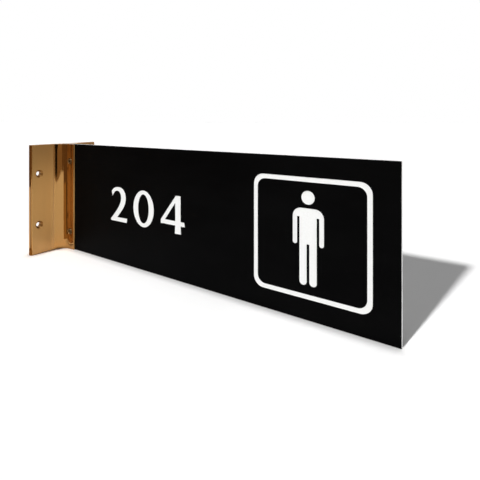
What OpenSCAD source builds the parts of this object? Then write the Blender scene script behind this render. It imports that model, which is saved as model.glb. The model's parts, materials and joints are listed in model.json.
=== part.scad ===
// Double-sided restroom sign that stands out from a wall: an engraved three-ply
// plastic panel, held on edge in the slot of a gold extruded aluminium bracket
// and clamped there by two set screws.
// Frame: origin at the centre of the bracket's back face, +X out of the wall
// along the panel, +Z up, -Y out of the front face. Sizes in millimetres.

/* [Sign] */
// Height of the panel and of the bracket, which is cut to it
sign_h = 101.6; // [95:0.1:140]
// Length of the panel, with the end that sits in the slot
panel_l = 304.8; // [290:0.1:400]
// Thickness of the panel, all three plies together
panel_t = 3.175; // [2.5:0.005:4.5]
// Thickness of each black outer ply
cap_t = 0.25; // [0.15:0.01:0.6]
// Depth to which the engraver cuts below the black surface
engrave_depth = 0.4; // [0.3:0.01:0.9]

/* [Bracket] */
// Width of the flange that lies on the wall
flange_w = 69.85; // [66:0.05:100]
// Thickness of the flange
flange_t = 4.76; // [3.4:0.01:5.6]
// Aluminium left between the slot and the wall
slot_floor_t = 3.2; // [2:0.1:4]
// Depth of the slot
slot_depth = 19.05; // [18:0.05:22]
// Clearance between the panel and each side of the slot
slot_clearance = 0.1; // [0.05:0.01:0.3]
// Gap between the panel's end and the floor of the slot
seat_gap = 0.1; // [0.05:0.01:1]
// Wall of each jaw at its tip
jaw_t = 1.6; // [1.2:0.05:2.6]
// Radius of the cove from the flange up to each jaw
cove_r = 13.5; // [10:0.1:16]
// Rounding of the long edges of the flange
flange_edge_r = 1.4; // [0.2:0.05:1.6]
// Rounding of the edges of the jaw tips
jaw_edge_r = 0.35; // [0.1:0.05:0.6]

/* [Wall holes] */
// Distance across the slot between the wall holes
wall_hole_spacing_y = 54; // [50:0.05:58]
// Height between the wall holes
wall_hole_spacing_z = 47.6; // [30:0.1:80]
// Diameter of the wall holes
wall_hole_d = 4.2; // [3:0.1:5.5]
// Diameter of the countersink at the flange's front
countersink_d = 7.2; // [6.6:0.1:9]
// Full angle of the countersink
countersink_angle = 82; // [82:1:100]

/* [Set screws] */
// Outer diameter of the set screws
screw_d = 4.83; // [3:0.01:5.2]
// Length of the set screws
screw_l = 2.4; // [2.2:0.1:5]
// Radial clearance of a set screw in its hole
screw_clearance = 0.05; // [0.02:0.01:0.1]
// Gap between a set screw's point and the panel
screw_tip_gap = 0.05; // [0.03:0.01:0.2]
// Distance from the jaw's tip back to the screws' axes
screw_inset = 5.2; // [5:0.05:9]
// Distance from each end of the bracket to the nearer screw
screw_end_distance = 16.8; // [8:0.1:24]
// Size of the hex socket across its flats
socket_af = 2.38; // [1.5:0.01:2.6]
// Depth of the hex socket
socket_depth = 1.2; // [0.8:0.1:1.6]
// Chamfer at both ends of a set screw
screw_chamfer = 0.25; // [0.1:0.05:0.4]
// Width of the bevelled ring round the mouth of a screw hole
hole_bevel = 0.45; // [0.2:0.05:0.8]

/* [Pictogram] */
// Outer side of the square frame round the figure
frame_side = 75.7; // [70:0.1:84]
// Line width of the frame
frame_line = 3; // [2:0.1:5]
// Outer corner radius of the frame
frame_corner_r = 7; // [5.5:0.1:12]
// Distance from the free end of the panel to the frame
frame_margin = 14.75; // [8:0.05:30]
// Height of the figure, from its feet to the top of its head
figure_h = 58.9; // [54:0.1:64]
// Radius of the head
head_r = 4.3; // [3.5:0.05:5.5]
// Gap between the head and the shoulders
neck_gap = 2.3; // [1:0.1:3]
// Width of the trunk
trunk_w = 11.2; // [9:0.1:14]
// Width of each arm
arm_w = 3; // [2.5:0.1:4.5]
// Gap between an arm and the trunk
arm_gap = 1.45; // [0.7:0.05:1.8]
// Radius of the shoulders
shoulder_r = 5.6; // [5:0.1:7]
// Distance from the shoulders down to the top of the arm gaps
armpit_drop = 5.6; // [5:0.1:9]
// Length of the arms, from the shoulders down
arm_l = 23; // [18:0.1:28]
// Gap between the legs
leg_gap = 1.6; // [0.8:0.1:2]
// Length of the legs, up to the top of the gap between them
leg_l = 25.6; // [20:0.1:30]

/* [Number] */
// Height of the numerals
number_h = 29.6; // [20:0.1:40]
// Distance from the jaws' tips to the middle of the number
number_centre = 93.4; // [80:0.1:110]
// Space between two numerals, as a share of their height
numeral_space = 0.25; // [0.12:0.01:0.35]

/* [Hidden] */
cut = 0.5;
slot_w = panel_t + 2 * slot_clearance;
bracket_d = slot_floor_t + slot_depth;
jaw_outer = slot_w / 2 + jaw_t;
cove_foot = jaw_outer + cove_r;
panel_x = slot_floor_t + seat_gap;
panel_end = panel_x + panel_l;
core_t = panel_t - 2 * cap_t;
screw_x = bracket_d - screw_inset;
screw_z = sign_h / 2 - screw_end_distance;
screw_tip_y = panel_t / 2 + screw_tip_gap;
// How far the cove's surface lies from the middle plane at the screws' axes
screw_mouth_y = cove_foot - sqrt(pow(cove_r, 2) - pow(max(flange_t + cove_r - screw_x, 0), 2));
countersink_h = (countersink_d - wall_hole_d) / 2 / tan(countersink_angle / 2);
frame_x = panel_end - frame_margin - frame_side / 2;
number_x = bracket_d + number_centre;
figure_w = trunk_w + 2 * (arm_gap + arm_w);
leg_w = (trunk_w - leg_gap) / 2;
shoulder_z = figure_h - 2 * head_r - neck_gap;
curve_steps = 10;
ring_steps = 56;

// Numeral outlines, in units of the numeral's height
zero_w = 0.8;
two_w = 0.72;
four_w = 0.84;
number_w = two_w + zero_w + four_w + 2 * numeral_space;

// Points of a cubic curve from a to d, without a itself
function curve(a, b, c, d) =
    [for (i = [1 : curve_steps])
        let (t = i / curve_steps, s = 1 - t)
        s * s * s * a + 3 * s * s * t * b + 3 * s * t * t * c + t * t * t * d];

function oval(centre, rx, ry) =
    [for (i = [0 : ring_steps - 1])
        let (turn = 360 * i / ring_steps)
        centre + [rx * cos(turn), ry * sin(turn)]];

// A rectangle with its corner at the origin and its four corners rounded
module rounded_square(size, r) {
    translate([r, 0]) square([size[0] - 2 * r, size[1]]);
    translate([0, r]) square([size[0], size[1] - 2 * r]);
    for (x = [r, size[0] - r], y = [r, size[1] - r])
        translate([x, y]) circle(r = r, $fn = 64);
}

module centred_rounded_square(size, r) {
    translate([-size[0] / 2, -size[1] / 2]) rounded_square(size, r);
}

// Cross-section of the extrusion, seen along the bracket's height
module bracket_section() {
    difference() {
        union() {
            translate([0, -flange_w / 2]) rounded_square([flange_t, flange_w], flange_edge_r);
            translate([0, -cove_foot]) square([flange_t + cove_r, 2 * cove_foot]);
            for (side = [-1, 1])
                translate([0, side * (jaw_outer + slot_w / 2) / 2 - jaw_t / 2])
                    rounded_square([bracket_d, jaw_t], jaw_edge_r);
        }
        for (side = [-1, 1])
            translate([flange_t + cove_r, side * cove_foot]) circle(r = cove_r, $fn = 180);
        translate([slot_floor_t, -slot_w / 2]) square([slot_depth - jaw_edge_r, slot_w]);
    }
}

module wall_hole() {
    translate([-cut, 0, 0])
        rotate([0, 90, 0]) cylinder(d = wall_hole_d, h = flange_t + 2 * cut, $fn = 64);
    translate([flange_t - countersink_h, 0, 0])
        rotate([0, 90, 0]) cylinder(d1 = wall_hole_d, d2 = countersink_d, h = countersink_h, $fn = 64);
    translate([flange_t, 0, 0])
        rotate([0, 90, 0]) cylinder(d = countersink_d, h = cut, $fn = 64);
}

// Drilled from the slot outwards through the near jaw, with a bevelled mouth
module screw_hole() {
    hole_r = screw_d / 2 + screw_clearance;
    rotate([90, 0, 0]) cylinder(r = hole_r, h = cove_foot, $fn = 64);
    translate([0, hole_bevel - screw_mouth_y, 0])
        rotate([90, 0, 0]) cylinder(r1 = hole_r, r2 = hole_r + 2 * hole_bevel, h = 2 * hole_bevel, $fn = 64);
}

module bracket() {
    color("darkgoldenrod")
    difference() {
        translate([0, 0, -sign_h / 2]) linear_extrude(height = sign_h) bracket_section();
        for (y = [-1, 1], z = [-1, 1])
            translate([0, y * wall_hole_spacing_y / 2, z * wall_hole_spacing_z / 2]) wall_hole();
        for (z = [-1, 1])
            translate([screw_x, 0, z * screw_z]) screw_hole();
    }
}

module frame_line_shape() {
    difference() {
        centred_rounded_square([frame_side, frame_side], frame_corner_r);
        centred_rounded_square([frame_side - 2 * frame_line, frame_side - 2 * frame_line],
            frame_corner_r - frame_line / 2);
    }
}

// A bar with a round lower end, which stands on the origin
module limb(w, l) {
    translate([-w / 2, w / 2]) square([w, l - w / 2]);
    translate([0, w / 2]) circle(d = w, $fn = 64);
}

// What lies inside the round shoulders, from the feet up
module shoulder_outline() {
    translate([-figure_w / 2, 0]) square([figure_w, shoulder_z - shoulder_r]);
    translate([shoulder_r - figure_w / 2, 0]) square([figure_w - 2 * shoulder_r, shoulder_z]);
    for (side = [-1, 1])
        translate([side * (figure_w / 2 - shoulder_r), shoulder_z - shoulder_r])
            circle(r = shoulder_r, $fn = 96);
}

// The figure stands with its feet on the x axis
module figure_shape() {
    translate([0, figure_h - head_r]) circle(r = head_r, $fn = 96);
    intersection() {
        shoulder_outline();
        union() {
            translate([-figure_w / 2, shoulder_z - armpit_drop]) square([figure_w, armpit_drop]);
            translate([-trunk_w / 2, leg_l]) square([trunk_w, shoulder_z - leg_l]);
            for (side = [-1, 1]) {
                translate([side * (figure_w - arm_w) / 2, shoulder_z - arm_l]) limb(arm_w, arm_l);
                translate([side * (trunk_w - leg_w) / 2, 0]) limb(leg_w, leg_l + cut);
            }
        }
    }
}

module numeral_two() {
    polygon(concat(
        [[0.02, 0], [0.7, 0], [two_w, 0.13], [0.3, 0.12]],
        curve([0.3, 0.12], [0.48, 0.32], [0.66, 0.48], [0.66, 0.71]),
        curve([0.66, 0.71], [0.66, 0.9], [0.54, 1.015], [0.36, 1.015]),
        curve([0.36, 1.015], [0.22, 1.015], [0.12, 0.97], [0.05, 0.88]),
        [[0.09, 0.72]],
        curve([0.09, 0.72], [0.15, 0.84], [0.22, 0.9], [0.3, 0.9]),
        curve([0.3, 0.9], [0.4, 0.9], [0.455, 0.82], [0.455, 0.69]),
        curve([0.455, 0.69], [0.455, 0.5], [0.2, 0.24], [0.02, 0.055])));
}

module numeral_zero() {
    middle = [zero_w / 2, 0.5];
    difference() {
        polygon(oval(middle, zero_w / 2, 0.515));
        polygon(oval(middle, zero_w / 2 - 0.2, 0.405));
    }
}

module numeral_four() {
    difference() {
        polygon([[0.5, 0], [0.71, 0], [0.7, 0.21], [four_w, 0.21], [four_w - 0.02, 0.33], [0.7, 0.33],
            [0.7, 1], [0.53, 1], [0, 0.31], [0, 0.21], [0.51, 0.21]]);
        polygon([[0.16, 0.33], [0.51, 0.33], [0.51, 0.8]]);
    }
}

// The number, centred on the origin
module number_shape() {
    translate([-number_w * number_h / 2, -number_h / 2])
        scale(number_h) {
            numeral_two();
            translate([two_w + numeral_space, 0]) numeral_zero();
            translate([two_w + zero_w + 2 * numeral_space, 0]) numeral_four();
        }
}

// All that is engraved on a face, as seen through the panel from the front
module artwork(turned) {
    translate([frame_x, 0]) {
        frame_line_shape();
        translate([0, -figure_h / 2]) figure_shape();
    }
    translate([number_x, 0]) mirror([turned ? 1 : 0, 0]) number_shape();
}

module front_engraving() {
    translate([0, -panel_t / 2 + engrave_depth, 0])
        rotate([90, 0, 0]) linear_extrude(height = engrave_depth + cut) artwork(false);
}

module back_engraving() {
    translate([0, panel_t / 2 + cut, 0])
        rotate([90, 0, 0]) linear_extrude(height = engrave_depth + cut) artwork(true);
}

// One ply of the panel, from y_low to y_low + t
module ply(y_low, t) {
    translate([panel_x, y_low, -sign_h / 2]) cube([panel_l, t, sign_h]);
}

module panel_core() {
    color("white")
    difference() {
        ply(-core_t / 2, core_t);
        front_engraving();
        back_engraving();
    }
}

module front_cap() {
    color([0.05, 0.05, 0.05])
    difference() {
        ply(-panel_t / 2, cap_t);
        front_engraving();
    }
}

module back_cap() {
    color([0.05, 0.05, 0.05])
    difference() {
        ply(core_t / 2, cap_t);
        back_engraving();
    }
}

// A headless screw with a hex socket, its point towards the panel
module set_screw(z) {
    color("peru")
    translate([screw_x, -screw_tip_y, z])
        rotate([90, 0, 0])
            difference() {
                union() {
                    cylinder(d1 = screw_d - 2 * screw_chamfer, d2 = screw_d, h = screw_chamfer, $fn = 64);
                    translate([0, 0, screw_chamfer])
                        cylinder(d = screw_d, h = screw_l - 2 * screw_chamfer, $fn = 64);
                    translate([0, 0, screw_l - screw_chamfer])
                        cylinder(d1 = screw_d, d2 = screw_d - 2 * screw_chamfer, h = screw_chamfer, $fn = 64);
                }
                translate([0, 0, screw_l - socket_depth])
                    cylinder(d = socket_af / cos(30), h = socket_depth + cut, $fn = 6);
            }
}

module upper_set_screw() {
    set_screw(screw_z);
}

module lower_set_screw() {
    set_screw(-screw_z);
}

bracket();
panel_core();
front_cap();
back_cap();
upper_set_screw();
lower_set_screw();
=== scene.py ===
# %% [markdown]
# A two-sided restroom sign that stands out from a wall. A strip of three-ply engraving plastic,
# black outside and white inside, stands on edge in the slot of a short gold aluminium extrusion.
# Two small set screws in the near jaw clamp it. This lesson dresses the construction model: it
# takes its sizes from the loaded frame and adds the edges, threads and finishes that a viewer
# sees. All lengths are in metres, +X points out of the wall and -Y is the side with the screws.

import json
from math import cos, pi, radians, sin, sqrt, tan

import bmesh
import bpy
from mathutils import Matrix, Vector


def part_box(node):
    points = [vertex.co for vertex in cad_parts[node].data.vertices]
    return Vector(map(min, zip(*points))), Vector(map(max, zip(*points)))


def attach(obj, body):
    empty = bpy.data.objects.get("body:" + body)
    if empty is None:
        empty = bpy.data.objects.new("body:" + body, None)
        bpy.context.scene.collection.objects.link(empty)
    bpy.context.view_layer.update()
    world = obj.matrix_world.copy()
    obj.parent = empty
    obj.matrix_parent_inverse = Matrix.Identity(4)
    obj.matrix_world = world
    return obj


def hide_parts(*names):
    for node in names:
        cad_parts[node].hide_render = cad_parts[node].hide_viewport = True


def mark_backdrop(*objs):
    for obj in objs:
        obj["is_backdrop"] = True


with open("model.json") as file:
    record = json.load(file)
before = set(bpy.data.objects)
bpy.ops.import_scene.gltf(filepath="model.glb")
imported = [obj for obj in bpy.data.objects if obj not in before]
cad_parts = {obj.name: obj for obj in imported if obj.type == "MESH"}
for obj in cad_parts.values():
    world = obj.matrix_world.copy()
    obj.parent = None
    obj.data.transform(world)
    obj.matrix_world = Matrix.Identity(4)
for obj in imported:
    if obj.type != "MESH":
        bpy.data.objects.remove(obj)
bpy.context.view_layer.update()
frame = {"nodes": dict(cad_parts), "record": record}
MM = 0.001
SAME_PLACE = MM / 1000

# %% [markdown]
# The frame gives each piece's box and the record gives the wall holes, so a size that the
# construction model already holds is read from it and never typed again. Only what no box can
# tell, such as the radius of a cove, is written here as a real size.

# %% Sizes read from the frame
bracket_low, bracket_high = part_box("bracket")
front_low, front_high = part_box("front_cap")
back_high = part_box("back_cap")[1]
screw_low, screw_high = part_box("lower_set_screw")
mount_sizes = {mount["name"]: mount["dims"] for mount in frame["record"]["mounts"]}
WALL_HOLE_R = mount_sizes["wall_holes"]["hole_r_mm"] * MM
HOLES_ACROSS = mount_sizes["wall_holes"]["spacing_x_mm"] * MM
HOLES_UP = mount_sizes["wall_holes"]["spacing_y_mm"] * MM
FLOOR_Z = bracket_low.z
HEIGHT = bracket_high.z - bracket_low.z
PANEL_T = back_high.y - front_low.y
print(f"sign: {front_high.x / MM:.1f} mm out of the wall, {HEIGHT / MM:.1f} mm high")
print(f"panel: {PANEL_T / MM:.2f} mm thick, each black ply {(front_high.y - front_low.y) / MM:.2f} mm")

# %% [markdown]
# The rest belongs to the extrusion's section. Its slot follows from the panel's thickness and a
# clearance, the jaws from the slot, and the feet of the coves from the jaws, as on a die maker's
# drawing, so a thicker panel would move all three.

# %% Sizes that no box can tell
FLANGE_T = 4.76 * MM
SLOT_FLOOR_T = 3.2 * MM
SLOT_CLEARANCE = 0.1 * MM
JAW_T = 1.6 * MM
COVE_R = 13.5 * MM
FLANGE_EDGE_R = 1.4 * MM
JAW_EDGE_R = 0.35 * MM
slot_half = PANEL_T / 2 + SLOT_CLEARANCE
jaw_outer = slot_half + JAW_T
cove_foot = jaw_outer + COVE_R
print(f"slot {2 * slot_half / MM:.2f} mm wide, jaws {2 * jaw_outer / MM:.2f} mm over all")

# %% [markdown]
# The camera stands low in front of the free end and looks back along the sign, so that the panel
# runs away to the wall. It could be tilted down at the sign, but then the upright edges would
# lean. Instead it is held level and the picture is slid down with the lens shift, as an
# architect's camera does it.

# %% Place the camera
CAMERA_PLACE = Vector((0.3358, -0.2212, 0.0720))
CAMERA_TURN = radians(33.22)
CAMERA_LENS = 27.60
CAMERA_SENSOR = 36
CAMERA_SHIFT = (0.0375, -0.2456)

camera_data = bpy.data.cameras.new("sign_camera")
camera_data.lens = CAMERA_LENS
camera_data.sensor_width = CAMERA_SENSOR
camera_data.shift_x, camera_data.shift_y = CAMERA_SHIFT
camera_data.clip_start = 0.01
camera = bpy.data.objects.new("sign_camera", camera_data)
camera.location = CAMERA_PLACE
camera.rotation_euler = (radians(90), 0, CAMERA_TURN)
bpy.context.scene.collection.objects.link(camera)
bpy.context.scene.camera = camera
bpy.context.scene.view_settings.view_transform = "Standard"
print("camera looks along", tuple(round(v, 3) for v in (-sin(CAMERA_TURN), cos(CAMERA_TURN), 0)))

# %% [markdown]
# Shaders and geometry trees are both made of nodes, so one helper adds a node with its settings
# and its values. A value goes to the input of that name, with an underscore for a space. The
# links between nodes are written out where they are made, because they tell the story.

# %% Helpers for nodes and objects
def new_node(tree, kind, settings=None, **values):
    """Adds a node. Settings are its properties, and values are those of its named inputs."""
    node = tree.nodes.new(kind)
    for key, value in (settings or {}).items():
        setattr(node, key, value)
    for key, value in values.items():
        node.inputs[key.replace("_", " ")].default_value = value
    return node


def new_material(name):
    material = bpy.data.materials.new(name)
    material.use_nodes = True
    return material, material.node_tree, material.node_tree.nodes["Principled BSDF"]


def new_object(name, data):
    thing = bpy.data.objects.new(name, data)
    bpy.context.scene.collection.objects.link(thing)
    return thing


# %% [markdown]
# The stage is a pale floor under a white surround. White paper lit like the sign would come out
# light grey, and more light would burn out the white letters. So floor and surround ask what
# kind of ray has arrived. A ray that comes straight from the camera, off something shiny or
# through something clear sees the paper brighter than the rays that only carry light about.

# %% Tell seen rays from the rest
def seen_share(tree):
    """1 for a ray that the camera sees directly, in a shine or through glass, and 0 for others."""
    path = new_node(tree, "ShaderNodeLightPath")
    first = new_node(tree, "ShaderNodeMath", {"operation": "MAXIMUM"})
    both = new_node(tree, "ShaderNodeMath", {"operation": "MAXIMUM"})
    tree.links.new(path.outputs["Is Camera Ray"], first.inputs[0])
    tree.links.new(path.outputs["Is Glossy Ray"], first.inputs[1])
    tree.links.new(first.outputs[0], both.inputs[0])
    tree.links.new(path.outputs["Is Transmission Ray"], both.inputs[1])
    return both.outputs[0]


# %% [markdown]
# The floor stays a matt surface for both kinds of ray, and so the shadow stays on it. Where the
# sign stands on it, even the soft light from all round can't reach, and a thin darker line
# appears. Ambient Occlusion measures how closed in a point is, within a short reach, and
# darkens the paper by that.

# %% Lay the floor
FLOOR_REACH = 60.0
FLOOR_WHITE = 0.75
FLOOR_SEEN = 1.65
CONTACT_REACH = 9 * MM


def floor_material():
    material, tree, shader = new_material("pale_floor")
    tree.nodes.remove(shader)
    plain = new_node(tree, "ShaderNodeBsdfDiffuse", Color=(FLOOR_WHITE,) * 3 + (1,))
    seen = new_node(tree, "ShaderNodeBsdfDiffuse")
    near = new_node(tree, "ShaderNodeAmbientOcclusion", {"samples": 16}, Distance=CONTACT_REACH)
    near.inputs["Color"].default_value = (FLOOR_SEEN,) * 3 + (1,)
    mix = new_node(tree, "ShaderNodeMixShader")
    tree.links.new(near.outputs["Color"], seen.inputs["Color"])
    tree.links.new(seen_share(tree), mix.inputs["Fac"])
    tree.links.new(plain.outputs[0], mix.inputs[1])
    tree.links.new(seen.outputs[0], mix.inputs[2])
    tree.links.new(mix.outputs[0], tree.nodes["Material Output"].inputs["Surface"])
    return material


def lay_floor():
    signs = ((-1, -1), (1, -1), (1, 1), (-1, 1))
    mesh = bpy.data.meshes.new("floor")
    mesh.from_pydata([(x * FLOOR_REACH, y * FLOOR_REACH, FLOOR_Z) for x, y in signs], [], [range(4)])
    mesh.materials.append(floor_material())
    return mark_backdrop(new_object("floor", mesh))


lay_floor()
print("floor at", round(FLOOR_Z / MM, 1), "mm, under the sign's lower edge")

# %% [markdown]
# The surround is plain white to the camera and in a shine. To matt surfaces it gives only a weak
# light from everywhere, and that sets how deep the shadow gets.

# %% Set the surround
SURROUND_FILL = 0.095


def set_surround():
    world = bpy.data.worlds.new("white_surround")
    bpy.context.scene.world = world
    world.use_nodes = True
    tree = world.node_tree
    background = tree.nodes["Background"]
    background.inputs["Color"].default_value = (1, 1, 1, 1)
    strength = new_node(tree, "ShaderNodeMapRange", To_Min=SURROUND_FILL)
    tree.links.new(seen_share(tree), strength.inputs["Value"])
    tree.links.new(strength.outputs["Result"], background.inputs["Strength"])


set_surround()
print("surround gives matt surfaces", SURROUND_FILL, "of white")

# %% [markdown]
# The main lamp stands in front, a little to the wall's side, about 32 degrees above the floor:
# that throws the panel's shadow back and to the right. A lamp near by would spread the shadow,
# and so it is a sun, a few degrees wide to soften the shadow's edge. A very wide one overhead
# stands for a lit ceiling.

# %% Hang the main lamp and the ceiling
SUN_TRAVEL = Vector((0.178, 0.828, -0.531))
SUN_STRENGTH = 2.85
SUN_WIDTH = radians(3)
CEILING_TRAVEL = Vector((0.0, -0.12, -1.0))
CEILING_STRENGTH = 0.21
CEILING_WIDTH = radians(50)


def aim(lamp, travel):
    lamp.rotation_euler = travel.to_track_quat("-Z", "Y").to_euler()


def hang_sun(name, travel, strength, width):
    data = bpy.data.lights.new(name, "SUN")
    data.energy = strength
    data.angle = width
    aim(new_object(name, data), travel)


hang_sun("main_lamp", SUN_TRAVEL, SUN_STRENGTH, SUN_WIDTH)
hang_sun("ceiling_lamp", CEILING_TRAVEL, CEILING_STRENGTH, CEILING_WIDTH)
print("main lamp stands", round(90 - SUN_TRAVEL.angle(Vector((0, 0, -1))) * 180 / pi), "degrees up")

# %% [markdown]
# Two broad boxes open up the parts that face away from the main lamp: one off the free end, one
# behind. A spot lights the bracket, and its soft rim leaves the bracket's top and foot a little
# darker. A photographer hangs grids on such lamps to keep their light off the table. Light
# linking does that here: each lamp lists the pieces that it lights. None of them shows in the
# metal's shine, where a hard bright square would give the trick away.

# %% Hang the boxes and the spot
END_BOX_PLACE = Vector((1.9, -0.15, 0.15))
END_BOX_SIZE = (0.9, 0.6)
BACK_BOX_PLACE = Vector((-0.3, 1.9, 0.35))
BACK_BOX_SIZE = (1.4, 0.8)
BACK_BOX_WATTS = 26
PANEL_END_WATTS = 26
BRACKET_END_WATTS = 5.5
BRACKET_MIDDLE = Vector((0.02, -0.02, 0))
PANEL_MIDDLE = Vector((0.15, 0, 0))
SPOT_PLACE = Vector((0.90, -0.50, 0.05))
SPOT_TARGET = Vector((0.005, -0.02, -0.003))
SPOT_CONE = radians(6.3)
SPOT_BLEND = 0.9
SPOT_RADIUS = 0.03
SPOT_WATTS = 33

panel_plies = bpy.data.collections.new("panel_plies")
bracket_metal = bpy.data.collections.new("bracket_metal")
for lit_pieces in (panel_plies, bracket_metal):
    bpy.context.scene.collection.children.link(lit_pieces)


def hang_linked(name, kind, place, target, watts, lit_pieces):
    """A lamp that lights only the pieces in one collection."""
    data = bpy.data.lights.new(name, kind)
    data.energy = watts
    lamp = new_object(name, data)
    lamp.location = place
    lamp.visible_glossy = False
    lamp.light_linking.receiver_collection = lit_pieces
    aim(lamp, target - place)
    return data


def hang_box(name, place, target, size, watts, lit_pieces):
    data = hang_linked(name, "AREA", place, target, watts, lit_pieces)
    data.shape = "RECTANGLE"
    data.size, data.size_y = size


for lit, end_watts in ((panel_plies, PANEL_END_WATTS), (bracket_metal, BRACKET_END_WATTS)):
    hang_box(lit.name + "_end_box", END_BOX_PLACE, BRACKET_MIDDLE, END_BOX_SIZE, end_watts, lit)
    hang_box(lit.name + "_back_box", BACK_BOX_PLACE, PANEL_MIDDLE, BACK_BOX_SIZE, BACK_BOX_WATTS, lit)

spot = hang_linked("bracket_spot", "SPOT", SPOT_PLACE, SPOT_TARGET, SPOT_WATTS, bracket_metal)
spot.spot_size = SPOT_CONE
spot.spot_blend = SPOT_BLEND
spot.shadow_soft_size = SPOT_RADIUS
spot_width = 2 * (SPOT_PLACE - SPOT_TARGET).length * tan(SPOT_CONE / 2)
print("spot:", round(spot_width / MM), "mm wide at the bracket")

# %% [markdown]
# Bright metal shows what stands round it more than its own colour, so a photographer shapes it
# with cards. A card here is a mesh that glows weakly, at just the level of its colour, and that
# only shiny surfaces can see. It can curve round the sign or lie on the table, and both are a
# strip between two rows of points.

# %% Helpers for cards
ONLY_IN_SHINE = ("visible_camera", "visible_diffuse", "visible_shadow", "visible_transmission")


def card(name, points, colour):
    """A stage card from pairs of points, which only reflections see."""
    material, tree, shader = new_material(name)
    tree.nodes.remove(shader)
    glow = new_node(tree, "ShaderNodeEmission", Color=colour + (1,), Strength=1.0)
    tree.links.new(glow.outputs[0], tree.nodes["Material Output"].inputs["Surface"])
    mesh = bpy.data.meshes.new(name)
    faces = [(left, left + 2, left + 3, left + 1) for left in range(0, len(points) - 2, 2)]
    mesh.from_pydata(points, [], faces)
    mesh.materials.append(material)
    thing = new_object(name, mesh)
    for kind in ONLY_IN_SHINE:
        setattr(thing, kind, False)
    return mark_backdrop(thing)


def hang_card(name, away, columns, colour):
    """A card round the sign. Each column is an azimuth in degrees, with a foot and a top above the floor."""
    points = []
    for azimuth, foot, top in columns:
        x, y = away * cos(radians(azimuth)), away * sin(radians(azimuth))
        points += [(x, y, FLOOR_Z + foot), (x, y, FLOOR_Z + top)]
    return card(name, points, colour)


# %% [markdown]
# Two curtains stand at arm's length. The upper part of the bracket mirrors them and darkens,
# while the lower part mirrors the white floor in front of them. The nearer a curtain stands, the
# further down the metal its foot shows, so a third one, closer in, darkens more of the jaw. A
# wedge of a like brown hangs before the first curtain with its point on the floor, and a black
# flag before that: together they draw the dark streak that runs down the cove and fades out.

# %% Hang the curtains and the flag
CURTAIN_AWAY = 0.62
CURTAIN_HIGH = 0.55
JAW_CURTAIN_AWAY = 0.42
WEDGE_AWAY = 0.44
FLAG_AWAY = 0.43
COLUMN_EVERY = 5
CURTAIN_BROWN = (0.42, 0.29, 0.17)
SIDE_BROWN = (0.21, 0.125, 0.06)
JAW_BROWN = (0.19, 0.11, 0.05)
WEDGE_BROWN = (0.36, 0.25, 0.15)
FLAG_BLACK = (0.0, 0.0, 0.0)


def curtain(start, end):
    """Columns of a plain curtain that reaches the floor, from one azimuth to another."""
    return [(azimuth, 0, CURTAIN_HIGH) for azimuth in range(start, end + 1, COLUMN_EVERY)]


hang_card("brown_curtain", CURTAIN_AWAY, curtain(-60, 60), CURTAIN_BROWN)
hang_card("side_curtain", CURTAIN_AWAY, curtain(-160, -60), SIDE_BROWN)
hang_card("jaw_curtain", JAW_CURTAIN_AWAY, curtain(-160, -75), JAW_BROWN)
wedge = [(-56, 0.023, 0.07), (-21, 0.0, 0.07), (8, 0.023, 0.07)]
flag = [(-32, 0.030, 0.10), (-20, 0.008, 0.10), (-8, 0.030, 0.10)]
hang_card("brown_wedge", WEDGE_AWAY, wedge, WEDGE_BROWN)
hang_card("black_flag", FLAG_AWAY, flag, FLAG_BLACK)
print("curtains", CURTAIN_AWAY, "and", JAW_CURTAIN_AWAY, "m away,", CURTAIN_HIGH, "m high")

# %% [markdown]
# On the table lie three sheets, as fans round the bracket. The brown one keeps the jaw a deeper
# gold than the cove beside it, the narrow dark one on it draws the fine line along the jaw, and
# the short pale one keeps the foot of the jaw bright.

# %% Lay the sheets
SHEET_CENTRE = Vector((0.010, -0.008))
SHEET_STEPS = 8
SHEET_BROWN = (0.49, 0.30, 0.115)
SHEET_DARK = (0.04, 0.02, 0.01)
SHEET_PALE = (1.0, 0.92, 0.82)


def lay_sheet(name, start, end, near, far, raised, colour):
    """A fan on the table, between two azimuths and two distances from the cove."""
    points = []
    for step in range(SHEET_STEPS + 1):
        turn = radians(start + (end - start) * step / SHEET_STEPS)
        for away in (near, far):
            x, y = SHEET_CENTRE + away * Vector((cos(turn), sin(turn)))
            points.append((x, y, FLOOR_Z + raised))
    return card(name, points, colour)


lay_sheet("brown_sheet", -74, -125, 26 * MM, CURTAIN_AWAY, 0.5 * MM, SHEET_BROWN)
lay_sheet("dark_sheet", -97, -110, 40 * MM, CURTAIN_AWAY, 1.0 * MM, SHEET_DARK)
lay_sheet("pale_sheet", -104, -170, 4 * MM, 26 * MM, 0.5 * MM, SHEET_PALE)
print("sheets fan out from", tuple(round(v / MM) for v in SHEET_CENTRE), "mm")

# %% [markdown]
# The bracket is an extrusion: one outline pushed through a die, cut to length and drilled. Its
# loose triangles in the construction model could be bevelled and smoothed, but a long highlight
# shows every flat of a cove. So it is rebuilt in the maker's own order, and its coves are true
# arcs. Only the near half of the outline is drawn, from the back corner round to the floor of
# the slot, and the far half is its mirror.

# %% Draw the bracket's outline
COVE_STEPS = 36
CORNER_STEPS = 8


def arc(centre, radius, start, end, steps):
    """Points on an arc, both ends included. Angles are in degrees."""
    turns = [radians(start + (end - start) * i / steps) for i in range(steps + 1)]
    return [Vector((centre[0] + radius * cos(turn), centre[1] + radius * sin(turn))) for turn in turns]


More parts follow.
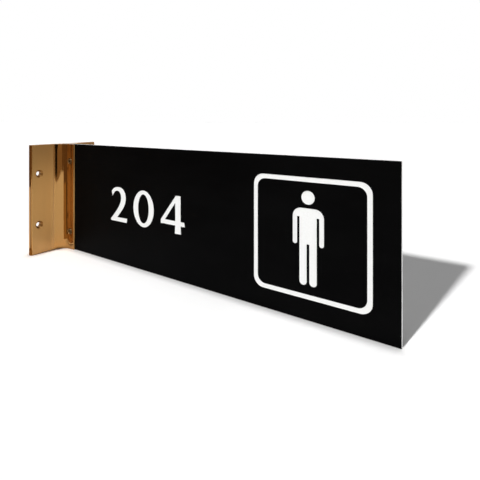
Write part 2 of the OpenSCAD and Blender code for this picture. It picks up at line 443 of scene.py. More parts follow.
def bracket_outline():
    edge, tip = FLANGE_EDGE_R, JAW_EDGE_R
    side, front = bracket_low.y, bracket_high.x
    near = arc((edge, side + edge), edge, 180, 270, CORNER_STEPS)
    near += arc((FLANGE_T - edge, side + edge), edge, 270, 360, CORNER_STEPS)
    near += arc((FLANGE_T + COVE_R, -cove_foot), COVE_R, 180, 90, COVE_STEPS)
    near += arc((front - tip, tip - jaw_outer), tip, 270, 360, CORNER_STEPS)
    near += arc((front - tip, -slot_half - tip), tip, 0, 90, CORNER_STEPS)
    near.append(Vector((SLOT_FLOOR_T, -slot_half)))
    return near + [Vector((point.x, -point.y)) for point in reversed(near)]


outline = bracket_outline()
print("bracket outline:", len(outline), "points, cove radius", round(COVE_R / MM, 1), "mm")

# %% [markdown]
# A sawn end isn't sharp: someone has run a file round it. To break that edge later, each point
# keeps the step that leads straight out of the metal there, as an attribute on the mesh. At a
# corner the step is longer, so that both edges move out by the same amount.

# %% Give the section its outward steps
def outward_steps(outline):
    """At each point, the step that moves both of its edges out by one unit."""
    steps = []
    for before, point, after in zip(outline[-1:] + outline[:-1], outline, outline[1:] + outline[:1]):
        first = Vector(((point - before).y, -(point - before).x)).normalized()
        second = Vector(((after - point).y, -(after - point).x)).normalized()
        steps.append((first + second) / (1 + first.dot(second)))
    return steps


def section_mesh(outline):
    mesh = bpy.data.meshes.new("bracket_section")
    mesh.from_pydata([(point.x, point.y, FLOOR_Z) for point in outline], [], [range(len(outline))])
    outward = mesh.attributes.new("outward", "FLOAT_VECTOR", "POINT")
    for item, step in zip(outward.data, outward_steps(outline)):
        item.vector = (step.x, step.y, 0)
    return mesh


section = section_mesh(outline)
print("section area:", round(section.polygons[0].area / MM ** 2, 1), "mm2")

# %% [markdown]
# The holes come next. A drill leaves a solid of revolution, so a cutter is a short list of radii
# and heights turned about an axis. The same helper later turns the set screws, and so a ring may
# also be a hexagon, given by half its width across the flats.

# %% Helper for turned solids
def ring_radius(radius, sides, turn):
    """The radius at one angle of a circle, or of a polygon given by half its width across flats."""
    if not sides:
        return radius
    part = 2 * pi / sides
    return radius / cos((turn + part / 2) % part - part / 2)


def turned_mesh(name, rings, steps):
    """A closed solid about Z from rings of (radius, height, sides). The first and last are points."""
    points, faces = [(0, 0, rings[0][1])], []
    for radius, height, sides in rings[1:-1]:
        for step in range(steps):
            turn = 2 * pi * step / steps
            reach = ring_radius(radius, sides, turn)
            points.append((reach * cos(turn), reach * sin(turn), height))
    points.append((0, 0, rings[-1][1]))
    last = len(points) - 1
    for step in range(steps):
        after = (step + 1) % steps
        faces.append((0, 1 + after, 1 + step))
        for ring in range(len(rings) - 3):
            low = 1 + ring * steps
            faces.append((low + step, low + after, low + steps + after, low + steps + step))
        faces.append((last, last - steps + step, last - steps + after))
    mesh = bpy.data.meshes.new(name)
    mesh.from_pydata(points, [], faces)
    return mesh


# %% [markdown]
# There are two drills. The wall drill runs in from the back and ends in the countersink for a
# screw's head. The screw drill runs through the near jaw from the slot outwards, and its mouth
# gets a wide bevel. Every rim has the small extra bevel that a deburring tool leaves. Each bevel
# runs on past the face that it cuts, because a cutter's ring that lies exactly in a face leaves
# slivers there.

# %% Turn the two drills
DRILL_STEPS = 72
COUNTERSINK_R = 3.6 * MM
COUNTERSINK_ANGLE = radians(82)
DEBURR = 0.12 * MM
SCREW_R = (screw_high.x - screw_low.x) / 2
SCREW_CLEARANCE = 0.05 * MM
SCREW_HOLE_R = SCREW_R + SCREW_CLEARANCE
MOUTH_BEVEL = 0.45 * MM
OVERSHOOT = 1.0 * MM
screw_x = (screw_high.x + screw_low.x) / 2
screw_z = -(screw_high.z + screw_low.z) / 2
countersink_h = (COUNTERSINK_R - WALL_HOLE_R) / tan(COUNTERSINK_ANGLE / 2)
mouth_y = cove_foot - sqrt(COVE_R ** 2 - max(FLANGE_T + COVE_R - screw_x, 0) ** 2)


def cutter(name, profile, turn_to):
    """A cutter, turned from (radius, height) pairs and laid along an axis."""
    mesh = turned_mesh(name, [(radius, height, 0) for radius, height in profile], DRILL_STEPS)
    mesh.transform(turn_to)
    return new_object(name, mesh)


wall_drill = cutter("wall_drill", [
    (0, -OVERSHOOT),
    (WALL_HOLE_R + DEBURR + OVERSHOOT, -OVERSHOOT),
    (WALL_HOLE_R, DEBURR),
    (WALL_HOLE_R, FLANGE_T - countersink_h),
    (COUNTERSINK_R - DEBURR, FLANGE_T - DEBURR),
    (COUNTERSINK_R + OVERSHOOT, FLANGE_T + OVERSHOOT),
    (0, FLANGE_T + OVERSHOOT),
], Matrix.Rotation(radians(90), 4, "Y"))

screw_drill = cutter("screw_drill", [
    (0, 0),
    (SCREW_HOLE_R, 0),
    (SCREW_HOLE_R, mouth_y - MOUTH_BEVEL),
    (SCREW_HOLE_R + 2 * MOUTH_BEVEL, mouth_y + MOUTH_BEVEL),
    (SCREW_HOLE_R + 2 * MOUTH_BEVEL, cove_foot),
    (0, cove_foot),
], Matrix.Rotation(radians(90), 4, "X"))
print(f"wall holes {2 * WALL_HOLE_R / MM:.1f} mm, countersunk {countersink_h / MM:.2f} mm deep")

# %% [markdown]
# A Geometry Nodes tree does the sawing and drilling, because both follow rules: the outline
# grows along the height, and one cutter is set on a grid of points. A tree is built like a
# shader, and its inputs are the sizes that a maker would change. These helpers open a tree
# with its inputs, do sums in it, and close it.

# %% Helpers for geometry trees
def new_tree(name, **inputs):
    """A geometry tree with named inputs. Each value gives a socket's type."""
    tree = bpy.data.node_groups.new(name, "GeometryNodeTree")
    tree.interface.new_socket("Geometry", in_out="INPUT", socket_type="NodeSocketGeometry")
    for key, kind in inputs.items():
        tree.interface.new_socket(key.replace("_", " "), in_out="INPUT", socket_type="NodeSocket" + kind)
    tree.interface.new_socket("Geometry", in_out="OUTPUT", socket_type="NodeSocketGeometry")
    return tree, new_node(tree, "NodeGroupInput").outputs


def feed(tree, node, *values):
    """Fills a node's first inputs, each from a socket or a number, and returns its first output."""
    for socket, value in zip(node.inputs, values):
        if isinstance(value, bpy.types.NodeSocket):
            tree.links.new(value, socket)
        else:
            socket.default_value = value
    return node.outputs[0]


def maths(tree, operation, *values):
    return feed(tree, new_node(tree, "ShaderNodeMath", {"operation": operation}), *values)


def vector(tree, x=0.0, y=0.0, z=0.0):
    return feed(tree, new_node(tree, "ShaderNodeCombineXYZ"), x, y, z)


def close_tree(tree, geometry, material):
    """Ends a tree in Realize Instances and Set Material."""
    real = new_node(tree, "GeometryNodeRealizeInstances")
    finish = new_node(tree, "GeometryNodeSetMaterial")
    output = new_node(tree, "NodeGroupOutput")
    tree.links.new(geometry, real.inputs[0])
    tree.links.new(real.outputs[0], finish.inputs["Geometry"])
    tree.links.new(material, finish.inputs["Material"])
    tree.links.new(finish.outputs[0], output.inputs[0])


# %% [markdown]
# A modifier runs the tree on a start mesh, and its inputs are set by each socket's identifier,
# since names are only for people. The result could stay live, but an exporter wants plain
# faces, so it is taken from the evaluated object as a new mesh and the modifier goes.

# %% Helper that runs a tree
def run_tree(name, start, tree, **values):
    """Runs a tree on a mesh and returns a new object that holds the result as a plain mesh."""
    piece = new_object(name, start)
    modifier = piece.modifiers.new("rule", "NODES")
    modifier.node_group = tree
    for socket in tree.interface.items_tree:
        key = socket.name.replace(" ", "_")
        if socket.in_out == "INPUT" and key in values:
            modifier[socket.identifier] = values[key]
    graph = bpy.context.evaluated_depsgraph_get()
    result = bpy.data.meshes.new_from_object(
        piece.evaluated_get(graph), preserve_all_data_layers=True, depsgraph=graph)
    piece.modifiers.remove(modifier)
    piece.data = result
    return piece


# %% [markdown]
# The bar is grown in three steps from its lower end: a thin slice that widens by the broken
# edge, the long straight length, and a thin slice that narrows again. The section itself,
# turned over, closes the lower end.

# %% Grow the bar
EDGE_BREAK = 0.15 * MM


def widen(tree, mesh, outward, amount, selection=None):
    """Moves points out of the metal by an amount, along their outward steps."""
    scale = new_node(tree, "ShaderNodeVectorMath", {"operation": "SCALE"})
    place = new_node(tree, "GeometryNodeSetPosition")
    tree.links.new(outward, scale.inputs[0])
    tree.links.new(amount, scale.inputs["Scale"])
    tree.links.new(mesh, place.inputs["Geometry"])
    tree.links.new(scale.outputs[0], place.inputs["Offset"])
    if selection:
        tree.links.new(selection, place.inputs["Selection"])
    return place.outputs[0]


def lift(tree, mesh, amount, selection=None):
    """Pulls the top face up by an amount. Returns the mesh and which face is now the top."""
    step = new_node(tree, "GeometryNodeExtrudeMesh", {"mode": "FACES"}, Individual=False)
    tree.links.new(mesh, step.inputs["Mesh"])
    tree.links.new(vector(tree, z=amount), step.inputs["Offset"])
    if selection:
        tree.links.new(selection, step.inputs["Selection"])
    return step.outputs["Mesh"], step.outputs["Top"]


def sawn_bar(tree, face, height, edge_break):
    """Grows the section into a bar whose two sawn ends have broken edges."""
    outward = new_node(tree, "GeometryNodeInputNamedAttribute", {"data_type": "FLOAT_VECTOR"}, Name="outward")
    outward = outward.outputs["Attribute"]
    inward = maths(tree, "MULTIPLY", edge_break, -1)
    straight = maths(tree, "SUBTRACT", height, maths(tree, "MULTIPLY", edge_break, 2))
    base = widen(tree, face, outward, inward)
    bar, top = lift(tree, base, edge_break)
    bar = widen(tree, bar, outward, edge_break, top)
    bar, top = lift(tree, bar, straight, top)
    bar, top = lift(tree, bar, edge_break, top)
    bar = widen(tree, bar, outward, inward, top)
    flip = new_node(tree, "GeometryNodeFlipFaces")
    both = new_node(tree, "GeometryNodeJoinGeometry")
    weld = new_node(tree, "GeometryNodeMergeByDistance", Distance=SAME_PLACE)
    tree.links.new(base, flip.inputs["Mesh"])
    tree.links.new(flip.outputs[0], both.inputs[0])
    tree.links.new(bar, both.inputs[0])
    tree.links.new(both.outputs[0], weld.inputs["Geometry"])
    return weld.outputs[0]


# %% [markdown]
# The drilling is one boolean cut for all the holes. Four wall holes lie on a grid that stands
# up in the wall's plane, and two screw holes lie on a line. Each cutter comes in as an object,
# and is set on every point as an instance.

# %% Set the cutters
def set_cutters(tree, points, cutter_object):
    """Puts one cutter on every point."""
    info = new_node(tree, "GeometryNodeObjectInfo")
    spread_out = new_node(tree, "GeometryNodeInstanceOnPoints")
    tree.links.new(cutter_object, info.inputs["Object"])
    tree.links.new(points, spread_out.inputs["Points"])
    tree.links.new(info.outputs["Geometry"], spread_out.inputs["Instance"])
    return spread_out.outputs[0]


def hole_grid(tree, across, up):
    """Four points in the wall's plane."""
    grid = new_node(tree, "GeometryNodeMeshGrid", Vertices_X=2, Vertices_Y=2)
    turn = new_node(tree, "GeometryNodeTransform", Rotation=(0, radians(90), 0))
    tree.links.new(up, grid.inputs["Size X"])
    tree.links.new(across, grid.inputs["Size Y"])
    tree.links.new(grid.outputs["Mesh"], turn.inputs["Geometry"])
    return turn.outputs[0]


def hole_line(tree, x, z):
    """Two points, one as far above the middle as the other is below it."""
    line = new_node(tree, "GeometryNodeMeshLine", {"mode": "END_POINTS"}, Count=2)
    low = vector(tree, x=x, z=maths(tree, "MULTIPLY", z, -1))
    tree.links.new(low, line.inputs["Start Location"])
    tree.links.new(vector(tree, x=x, z=z), line.inputs["Offset"])
    return line.outputs[0]


# %% [markdown]
# All of that goes into one tree, so a maker who wants a taller bracket or a wider hole pattern
# changes a number and saws and drills it again. The cutters are made real before the cut, so
# that the boolean works on plain meshes. Its exact solver is slower than the others, but it
# leaves clean rims where a bevel meets a round wall.

# %% Put the saw and the drills in one tree
def bracket_tree():
    tree, given = new_tree(
        "saw_and_drill", Height="Float", Edge_Break="Float", Holes_Across="Float", Holes_Up="Float",
        Screw_X="Float", Screw_Z="Float", Wall_Drill="Object", Screw_Drill="Object", Finish="Material")
    bar = sawn_bar(tree, given["Geometry"], given["Height"], given["Edge Break"])
    wall_points = hole_grid(tree, given["Holes Across"], given["Holes Up"])
    screw_points = hole_line(tree, given["Screw X"], given["Screw Z"])
    cutters = new_node(tree, "GeometryNodeJoinGeometry")
    tree.links.new(set_cutters(tree, wall_points, given["Wall Drill"]), cutters.inputs[0])
    tree.links.new(set_cutters(tree, screw_points, given["Screw Drill"]), cutters.inputs[0])
    solid_cutters = new_node(tree, "GeometryNodeRealizeInstances")
    drill = new_node(tree, "GeometryNodeMeshBoolean", {"operation": "DIFFERENCE", "solver": "EXACT"})
    tree.links.new(cutters.outputs[0], solid_cutters.inputs[0])
    tree.links.new(bar, drill.inputs["Mesh 1"])
    tree.links.new(solid_cutters.outputs[0], drill.inputs["Mesh 2"])
    close_tree(tree, drill.outputs["Mesh"], given["Finish"])
    return tree


saw_and_drill = bracket_tree()
print("saw_and_drill:", len(saw_and_drill.nodes), "nodes")

# %% [markdown]
# A finish is one material, and its node tree can tell one face of the metal from another only
# by what the mesh carries. So the finished mesh is marked with five values. Flat faces that
# look out of the wall or into it are brushed, fading round the cove, which keeps the brighter
# skin of the die. Drilled faces lie inside the reach of a cutter, and tapped ones belong to a
# screw's hole. Sawn faces look straight up or down, and the narrow slanting ones round them
# are rubbed.

# %% Mark the faces of the bracket
BRUSHED_FROM = 0.93
BRUSHED_TO = 0.99
SAWN_FROM = 0.99
RUBBED_FROM = 0.3
HOLE_FACE_AREA = 0.2 * FLANGE_T ** 2
MOUTH_REACH = SCREW_HOLE_R + 1.5 * MOUTH_BEVEL


def store(mesh, name, domain, values):
    mesh.attributes.new(name, "FLOAT", domain).data.foreach_set("value", values)


def brushed_share(normal):
    return min(max((abs(normal.x) - BRUSHED_FROM) / (BRUSHED_TO - BRUSHED_FROM), 0), 1)


def in_wall_hole(face):
    off = sqrt((abs(face.center.y) - HOLES_ACROSS / 2) ** 2 + (abs(face.center.z) - HOLES_UP / 2) ** 2)
    return off < COUNTERSINK_R and face.area < HOLE_FACE_AREA


def in_screw_hole(face):
    off = sqrt((face.center.x - screw_x) ** 2 + (abs(face.center.z) - screw_z) ** 2)
    return off < MOUTH_REACH and -mouth_y - MOUTH_BEVEL < face.center.y < 0


def mark_bracket(mesh):
    # The tapped and drilled marks also carry the painted shade of the holes.
    tapped = [float(in_screw_hole(face)) for face in mesh.polygons]
    drilled = [max(hole, float(in_wall_hole(face))) for hole, face in zip(tapped, mesh.polygons)]
    upright = [abs(face.normal.z) * (1 - hole) for face, hole in zip(mesh.polygons, drilled)]
    store(mesh, "brushed", "CORNER", [brushed_share(normal.vector) for normal in mesh.corner_normals])
    store(mesh, "tapped", "FACE", tapped)
    store(mesh, "drilled", "FACE", drilled)
    store(mesh, "sawn", "FACE", [float(share > SAWN_FROM) for share in upright])
    store(mesh, "rubbed", "FACE", [float(RUBBED_FROM < share <= SAWN_FROM) for share in upright])
    print("marked", round(sum(drilled)), "drilled faces of", len(mesh.polygons))


# %% [markdown]
# Flat and round faces meet on this bracket, and plain smooth shading would bend the light on the
# flats near a curve. A limit on the angle keeps the real edges sharp, and the Weighted Normal
# modifier lets the large flat faces win.

# %% Helper that smooths a piece
def smooth_by_angle(piece, angle):
    piece.data.polygons.foreach_set("use_smooth", [True] * len(piece.data.polygons))
    piece.data.set_sharp_from_angle(angle=angle)
    weigh = piece.modifiers.new("weigh_normals", "WEIGHTED_NORMAL")
    weigh.keep_sharp = True
    return piece


# %% [markdown]
# Every finish here mixes a few of the same things: a pattern in the piece's own space, a value
# moved from one range to another, two colours or numbers mixed by a share, and a bump. Noise
# that is stretched along an axis, by a small scale on it, makes lines. A Mix node keeps a pair of
# sockets for each kind of data, all with the same names, so they are picked by their places.

# %% Helpers for finishes
def object_place(tree, scale=(1, 1, 1), centre=(0, 0, 0)):
    """Object coordinates, moved so that the pattern's middle is at a centre, then scaled."""
    place = new_node(tree, "ShaderNodeTexCoord")
    shift = tuple(-c * s for c, s in zip(centre, scale))
    mapping = new_node(tree, "ShaderNodeMapping", Scale=scale, Location=shift)
    tree.links.new(place.outputs["Object"], mapping.inputs["Vector"])
    return mapping.outputs[0]


def marked(tree, name):
    """A value that the mesh carries."""
    return new_node(tree, "ShaderNodeAttribute", {"attribute_name": name}).outputs["Fac"]


def noise(tree, where, scale, detail=4.0):
    texture = new_node(tree, "ShaderNodeTexNoise", Scale=scale, Detail=detail, Roughness=0.6)
    tree.links.new(where, texture.inputs["Vector"])
    return texture.outputs["Fac"]


def waves(tree, where, pitch, distortion, **settings):
    """Even waves, one to each pitch. The texture's own period is 2 pi / 20 at a scale of 1."""
    texture = new_node(tree, "ShaderNodeTexWave", settings, Scale=2 * pi / 20 / pitch, Distortion=distortion,
                       Detail=2.0, Detail_Scale=1.5)
    tree.links.new(where, texture.inputs["Vector"])
    return texture.outputs["Fac"]


def spread(tree, value, low, high, to_low, to_high):
    """Maps a value from one range to another."""
    node = new_node(tree, "ShaderNodeMapRange", From_Min=low, From_Max=high, To_Min=to_low, To_Max=to_high)
    tree.links.new(value, node.inputs["Value"])
    return node.outputs["Result"]


MIX_NUMBERS_AT = 2
MIX_COLOURS_AT = 6
MIXED_COLOUR_AT = 2


def mix_numbers(tree, share, first, second):
    node = new_node(tree, "ShaderNodeMix")
    tree.links.new(share, node.inputs["Factor"])
    tree.links.new(first, node.inputs[MIX_NUMBERS_AT])
    tree.links.new(second, node.inputs[MIX_NUMBERS_AT + 1])
    return node.outputs[0]


def mix_colours(tree, share, first, second):
    """Mixes two colours, each a socket or a plain colour."""
    node = new_node(tree, "ShaderNodeMix", {"data_type": "RGBA"})
    tree.links.new(share, node.inputs["Factor"])
    for place, colour in enumerate((first, second), MIX_COLOURS_AT):
        if isinstance(colour, bpy.types.NodeSocket):
            tree.links.new(colour, node.inputs[place])
        else:
            node.inputs[place].default_value = colour + (1,)
    return node.outputs[MIXED_COLOUR_AT]


def add_bump(tree, shader, height, strength, distance):
    bump = new_node(tree, "ShaderNodeBump", Strength=strength, Distance=distance)
    tree.links.new(height, bump.inputs["Height"])
    tree.links.new(bump.outputs["Normal"], shader.inputs["Normal"])


# %% [markdown]
# The gold is aluminium, anodised and dyed. A clear oxide skin over bright metal gives a tinted
# mirror, clear in the coves and jaws and broken up on the brushed flats, where a matt share
# shows the dye. The dye is a little uneven, more across the bar than along it. Drilled faces
# are painted a deeper gold and the tapped holes nearly brown: that is painted shade in the
# holes. Where edges are rubbed the bare metal starts to show through.

# %% Colour the gold
GOLD_BRUSHED = (0.58, 0.315, 0.104)
GOLD_SKIN = (0.425, 0.226, 0.075)
# The drilled and tapped colours are painted shade in the holes.
GOLD_DRILLED_SHADE = (0.38, 0.20, 0.065)
GOLD_TAPPED_SHADE = (0.16, 0.08, 0.027)
GOLD_RUBBED = (0.80, 0.62, 0.38)


def gold_colour(tree):
    tint = noise(tree, object_place(tree, (1, 1, 0.15)), 70, 3)
    pale = maths(tree, "ADD", marked(tree, "brushed"), spread(tree, tint, 0.35, 0.65, -0.12, 0.12))
    colour = mix_colours(tree, pale, GOLD_SKIN, GOLD_BRUSHED)
    # Drilled faces are painted a deeper gold: painted shade in the holes. Their rougher finish is real.
    colour = mix_colours(tree, marked(tree, "drilled"), colour, GOLD_DRILLED_SHADE)
    # Tapped faces are painted nearly brown: painted shade round the screws.
    colour = mix_colours(tree, marked(tree, "tapped"), colour, GOLD_TAPPED_SHADE)
    patches = spread(tree, noise(tree, object_place(tree), 400, 3), 0.45, 0.7, 0, 0.7)
    rubbed = maths(tree, "MULTIPLY", marked(tree, "rubbed"), patches)
    return mix_colours(tree, rubbed, colour, GOLD_RUBBED)


# %% [markdown]
# The die leaves fine lines along the bar's length, and so does the brush, so roughness and bump
# vary across the bar and hardly along it. A saw leaves something else on the two ends: arcs,
# since its blade is a disc. Waves in rings about a point well off the bar draw them. Fine lines
# also spread each highlight across themselves, which is what the anisotropic inputs do: the
# tangent runs up the bar, and a quarter turn lays the spread across it.

# %% Brush, saw and finish the gold
SAW_CENTRE = (0.03, -0.14, 0)
SAW_PITCH = 0.7 * MM
SAW_DEEPER = 45
SKIN_ROUGH = 0.07
BRUSHED_ROUGH = 0.38
DRILLED_ROUGHER = 0.25
SKIN_METALLIC = 0.99
BRUSHED_METALLIC = 0.38
QUARTER_TURN = 0.25


def saw_arcs(tree):
    rings = object_place(tree, centre=SAW_CENTRE)
    return waves(tree, rings, SAW_PITCH, 1.5, wave_type="RINGS", rings_direction="Z")


def gold_roughness(tree, die_lines, arcs):
    cloud = noise(tree, object_place(tree), 220, 5)
    rough = spread(tree, marked(tree, "brushed"), 0, 1, SKIN_ROUGH, BRUSHED_ROUGH)
    rough = maths(tree, "ADD", rough, spread(tree, die_lines, 0.3, 0.7, -0.02, 0.03))
    rough = maths(tree, "ADD", rough, spread(tree, cloud, 0.35, 0.65, -0.01, 0.015))
    rough = maths(tree, "ADD", rough, maths(tree, "MULTIPLY", marked(tree, "drilled"), DRILLED_ROUGHER))
    sawn = maths(tree, "MULTIPLY", marked(tree, "sawn"), spread(tree, arcs, 0, 1, 0.12, 0.3))
    return maths(tree, "ADD", rough, sawn)


def gold_height(tree, die_lines, arcs):
    """Die lines on the long faces, saw arcs on the ends."""
    return mix_numbers(tree, marked(tree, "sawn"), die_lines, spread(tree, arcs, 0, 1, 0, SAW_DEEPER))


def gold_material():
    material, tree, shader = new_material("gold_anodised_aluminium")
    die_lines = noise(tree, object_place(tree, (1, 1, 0.012)), 1500, 3)
    arcs = saw_arcs(tree)
    metal = spread(tree, marked(tree, "brushed"), 0, 1, SKIN_METALLIC, BRUSHED_METALLIC)
    tree.links.new(gold_colour(tree), shader.inputs["Base Color"])
    tree.links.new(metal, shader.inputs["Metallic"])
    tree.links.new(gold_roughness(tree, die_lines, arcs), shader.inputs["Roughness"])
    add_bump(tree, shader, gold_height(tree, die_lines, arcs), 0.08, 0.02 * MM)
    shader.inputs["Anisotropic"].default_value = 0.6
    shader.inputs["Anisotropic Rotation"].default_value = QUARTER_TURN
    tree.links.new(vector(tree, z=1.0), shader.inputs["Tangent"])
    return material


gold = gold_material()
print("gold:", len(gold.node_tree.nodes), "nodes")

# %% [markdown]
# Now the tree is run on the section. The cutters have done their work and are removed, the
# faces are smoothed and marked, and the piece takes the place of the bracket's own node. It
# doesn't move, but it still names the body that it belongs to.

# %% Make the bracket
BRACKET_SMOOTH = radians(30)

bracket = run_tree(
    "bracket_extrusion", section, saw_and_drill, Height=HEIGHT, Edge_Break=EDGE_BREAK,
    Holes_Across=HOLES_ACROSS, Holes_Up=HOLES_UP, Screw_X=screw_x, Screw_Z=screw_z,
    Wall_Drill=wall_drill, Screw_Drill=screw_drill, Finish=gold)
for used_cutter in (wall_drill, screw_drill):
    bpy.data.objects.remove(used_cutter)
smooth_by_angle(bracket, BRACKET_SMOOTH)
mark_bracket(bracket.data)
bracket_metal.objects.link(bracket)
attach(bracket, "bracket")
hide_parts("bracket")
print("bracket:", len(bracket.data.polygons), "faces")

# %% [markdown]
# The set screws are headless: a hex socket at the outer end, a cup point at the inner one,
# and thread all the way. A blank is turned first, with the hexagon as rings of six sides.

# %% Turn the blank of a set screw
SCREW_L = screw_high.y - screw_low.y
SCREW_CHAMFER = 0.25 * MM
SOCKET_HALF = 1.19 * MM
SOCKET_DEPTH = 1.2 * MM
SCREW_STEPS = 72
THREAD_RINGS = 30


def cup_point():
    """Rings of the hollow point, from its middle out to the chamfer."""
    return [
        (0, 0.35 * MM, 0),
        (0.5 * MM, 0.3 * MM, 0),
        (1.15 * MM, 0.04 * MM, 0),
        (1.25 * MM, 0, 0),
        (1.4 * MM, 0, 0),
        (SCREW_R - SCREW_CHAMFER - 0.05 * MM, 0.01 * MM, 0),
        (SCREW_R - SCREW_CHAMFER, 0.03 * MM, 0),
    ]


def hex_socket():
    """Rings of the outer end, from the chamfer in and down into the socket."""
    return [
        (SCREW_R - SCREW_CHAMFER, SCREW_L - 0.03 * MM, 0),
        (SCREW_R - SCREW_CHAMFER - 0.05 * MM, SCREW_L, 0),
        (SOCKET_HALF * 1.2 + 0.12 * MM, SCREW_L, 0),
        (SOCKET_HALF + 0.09 * MM, SCREW_L - 0.02 * MM, 6),
        (SOCKET_HALF, SCREW_L - 0.11 * MM, 6),
        (SOCKET_HALF, SCREW_L - SOCKET_DEPTH, 6),
        (SOCKET_HALF * 0.93, SCREW_L - SOCKET_DEPTH - 0.03 * MM, 0),
        (0, SCREW_L - SOCKET_DEPTH - 0.25 * MM, 0),
    ]


def screw_blank():
    threaded = SCREW_L - 2 * SCREW_CHAMFER
    flank = [(SCREW_R, SCREW_CHAMFER + threaded * ring / THREAD_RINGS, 0) for ring in range(THREAD_RINGS + 1)]
    return turned_mesh("set_screw_blank", cup_point() + flank + hex_socket(), SCREW_STEPS)


print("set screw:", round(2 * SCREW_R / MM, 2), "mm by", round(SCREW_L / MM, 2), "mm")

# %% [markdown]
# A thread is a rule, so a tree cuts it. A screw modifier could sweep a profile, but then its
# ends would need closing. Here each point of the blank is pulled in by an amount that depends
# on its height and its angle together, which is what makes the groove climb. A point that
# already lies deeper, such as one in the socket, stays.

# %% Cut the thread
THREAD_PITCH = 0.794 * MM
THREAD_DEPTH = 0.43 * MM


def groove_depth(tree, x, y, z, pitch, depth):
    """0 on a crest and the full depth in a root, with flats on both as a real thread has."""
    turns = maths(tree, "DIVIDE", maths(tree, "ARCTAN2", y, x), 2 * pi)
    phase = maths(tree, "FRACT", maths(tree, "SUBTRACT", maths(tree, "DIVIDE", z, pitch), turns))
    height = maths(tree, "MULTIPLY", maths(tree, "ABSOLUTE", maths(tree, "SUBTRACT", phase, 0.5)), 2)
    return maths(tree, "MULTIPLY", spread(tree, height, 0.25, 0.875, 1, 0), depth)


def thread_tree():
    tree, given = new_tree("cut_thread", Radius="Float", Pitch="Float", Depth="Float", Finish="Material")
    parts = new_node(tree, "ShaderNodeSeparateXYZ")
    tree.links.new(new_node(tree, "GeometryNodeInputPosition").outputs[0], parts.inputs[0])
    x, y, z = parts.outputs
    squares = maths(tree, "ADD", maths(tree, "MULTIPLY", x, x), maths(tree, "MULTIPLY", y, y))
    reach = maths(tree, "SQRT", squares)
    depth = groove_depth(tree, x, y, z, given["Pitch"], given["Depth"])
    share = maths(tree, "DIVIDE", maths(tree, "SUBTRACT", given["Radius"], depth), reach)
    share = maths(tree, "MINIMUM", share, 1)
    cut = new_node(tree, "GeometryNodeSetPosition")
    tree.links.new(given["Geometry"], cut.inputs["Geometry"])
    cut_place = vector(tree, maths(tree, "MULTIPLY", x, share), maths(tree, "MULTIPLY", y, share), z)
    tree.links.new(cut_place, cut.inputs["Position"])
    close_tree(tree, cut.outputs[0], given["Finish"])
    return tree


cut_thread = thread_tree()
print("thread:", round(SCREW_L / THREAD_PITCH, 1), "turns,", THREAD_DEPTH / MM, "mm deep")

# %% [markdown]
# The screws are steel under a yellow zinc coat, so they are of the gold's hue but darker and
# duller. The coat is crystalline, which a fine grain in colour, roughness and bump gives.

# %% Plate the set screws
ZINC_DEEP = (0.12, 0.068, 0.026)
ZINC_PALE = (0.20, 0.118, 0.049)


def zinc_material():
    material, tree, shader = new_material("yellow_zinc_steel")
    grain = noise(tree, object_place(tree), 4000)
    colour = mix_colours(tree, spread(tree, grain, 0.35, 0.65, 0, 1), ZINC_DEEP, ZINC_PALE)
    tree.links.new(colour, shader.inputs["Base Color"])
    tree.links.new(spread(tree, grain, 0.3, 0.7, 0.42, 0.58), shader.inputs["Roughness"])
    shader.inputs["Metallic"].default_value = 0.9
    add_bump(tree, shader, grain, 0.2, 0.01 * MM)
    return material


zinc = zinc_material()
print("zinc:", len(zinc.node_tree.nodes), "nodes")

# %% [markdown]
# Both screws come from one blank and one tree, and each is then turned on its side and moved to
# its place in the jaw. The move goes into the mesh and not into the object, because the finish
# follows the object's own coordinates, and a part library wants every piece at one origin.

# %% Set both screws in the jaw
SCREW_SMOOTH = radians(35)


def set_screw(node, body):
    low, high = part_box(node)
    screw = run_tree(node + "_threaded", screw_blank(), cut_thread,
                     Radius=SCREW_R, Pitch=THREAD_PITCH, Depth=THREAD_DEPTH, Finish=zinc)
    point = Vector(((low.x + high.x) / 2, high.y, (low.z + high.z) / 2))
    screw.data.transform(Matrix.Translation(point) @ Matrix.Rotation(radians(90), 4, "X"))
    smooth_by_angle(screw, SCREW_SMOOTH)
    bracket_metal.objects.link(screw)
    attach(screw, body)
    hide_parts(node)
    print(screw.name, len(screw.data.polygons), "faces")


set_screw("upper_set_screw", "upper_screw")
set_screw("lower_set_screw", "lower_screw")

# %% [markdown]
# The panel is engraving stock: two thin black skins bonded to a white core. A cutter goes
# through the black and a little into the white, so figure, frame and number are white because
# the core shows. The shapes of the plies are right as they are. What they lack is the hair-thin
# broken edge that a cutter leaves. So each black ply's loose triangles are welded into whole
# faces, and the edges of its outer face are bevelled by a twentieth of a millimetre.

# %% Weld and bevel a ply
PLY_BEVEL = 0.05 * MM
FLAT_WITHIN = radians(0.5)
RIM_SHARPER_THAN = radians(60)
PLY_SMOOTH = radians(35)


def welded(node):
    """A node's triangles, merged into whole faces."""
    work = bmesh.new()
    work.from_mesh(frame["nodes"][node].data)
    bmesh.ops.remove_doubles(work, verts=work.verts, dist=SAME_PLACE)
    bmesh.ops.dissolve_limit(work, angle_limit=FLAT_WITHIN, verts=work.verts, edges=work.edges)
    return work


def on_rim(edge, face_y):
    on_face = all(abs(vert.co.y - face_y) < SAME_PLACE for vert in edge.verts)
    return on_face and edge.calc_face_angle(0) > RIM_SHARPER_THAN


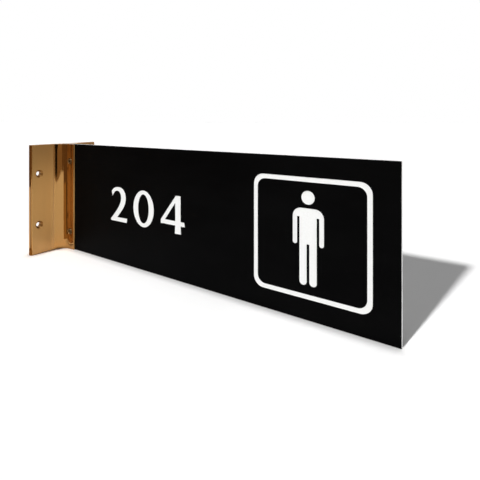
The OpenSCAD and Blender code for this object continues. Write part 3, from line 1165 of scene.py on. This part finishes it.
def edge_ply(node, name, face_y, finish):
    work = welded(node)
    rim = [edge for edge in work.edges if on_rim(edge, face_y)]
    bmesh.ops.bevel(
        work, geom=rim, offset=PLY_BEVEL, segments=2, profile=0.5, affect="EDGES", clamp_overlap=True)
    mesh = bpy.data.meshes.new(name)
    work.to_mesh(mesh)
    work.free()
    mesh.materials.append(finish)
    piece = smooth_by_angle(new_object(name, mesh), PLY_SMOOTH)
    panel_plies.objects.link(piece)
    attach(piece, "panel")
    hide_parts(node)
    print(name, len(mesh.polygons), "faces,", len(rim), "edges eased")


# %% [markdown]
# The black is a fine matt, so it hardly shines from in front and greys a little at a flat
# angle. Its grain is that of the press plate, and long faint smears, stretched by a small
# scale, are what a cloth leaves.

# %% Finish the black plies
BLACK_DEEP = (0.0010, 0.0010, 0.0011)
BLACK_SMEARED = (0.0018, 0.0018, 0.0019)


def black_material():
    material, tree, shader = new_material("black_ply")
    grain = noise(tree, object_place(tree), 2600, 5)
    smear = noise(tree, object_place(tree, (0.4, 1, 1)), 34)
    colour = mix_colours(tree, spread(tree, smear, 0.4, 0.7, 0, 1), BLACK_DEEP, BLACK_SMEARED)
    grained = spread(tree, grain, 0.3, 0.7, 0.42, 0.52)
    rough = maths(tree, "ADD", grained, spread(tree, smear, 0.35, 0.65, -0.03, 0.03))
    tree.links.new(colour, shader.inputs["Base Color"])
    tree.links.new(rough, shader.inputs["Roughness"])
    shader.inputs["Specular IOR Level"].default_value = 0.02
    add_bump(tree, shader, grain, 0.25, 0.012 * MM)
    return material


black = black_material()
edge_ply("front_cap", "front_black_ply", front_low.y, black)
edge_ply("back_cap", "back_black_ply", back_high.y, black)

# %% [markdown]
# The core needs no new shape: its flat floors and straight walls are what a cutter leaves, and
# it stays the frame's own mesh. Only its material is new: a white plastic with the faint, even
# rows of the cutter's passes.

# %% Finish the white core
CUTTER_PASS = 0.9 * MM
WHITE_SHADED = (0.83, 0.83, 0.815)
WHITE_CLEAN = (0.87, 0.87, 0.86)


def white_material():
    material, tree, shader = new_material("white_core")
    passes = waves(tree, object_place(tree), CUTTER_PASS, 0.6, bands_direction="Z")
    grain = noise(tree, object_place(tree), 900)
    colour = mix_colours(tree, spread(tree, grain, 0.35, 0.65, 0, 1), WHITE_SHADED, WHITE_CLEAN)
    tree.links.new(colour, shader.inputs["Base Color"])
    tree.links.new(spread(tree, grain, 0.3, 0.7, 0.45, 0.6), shader.inputs["Roughness"])
    shader.inputs["Specular IOR Level"].default_value = 0.35
    add_bump(tree, shader, passes, 0.1, 0.02 * MM)
    return material


core = frame["nodes"]["panel_core"]
panel_plies.objects.link(core)
core.data.materials.clear()
core.data.materials.append(white_material())
print("core:", len(core.data.polygons), "faces, kept as the frame has it")
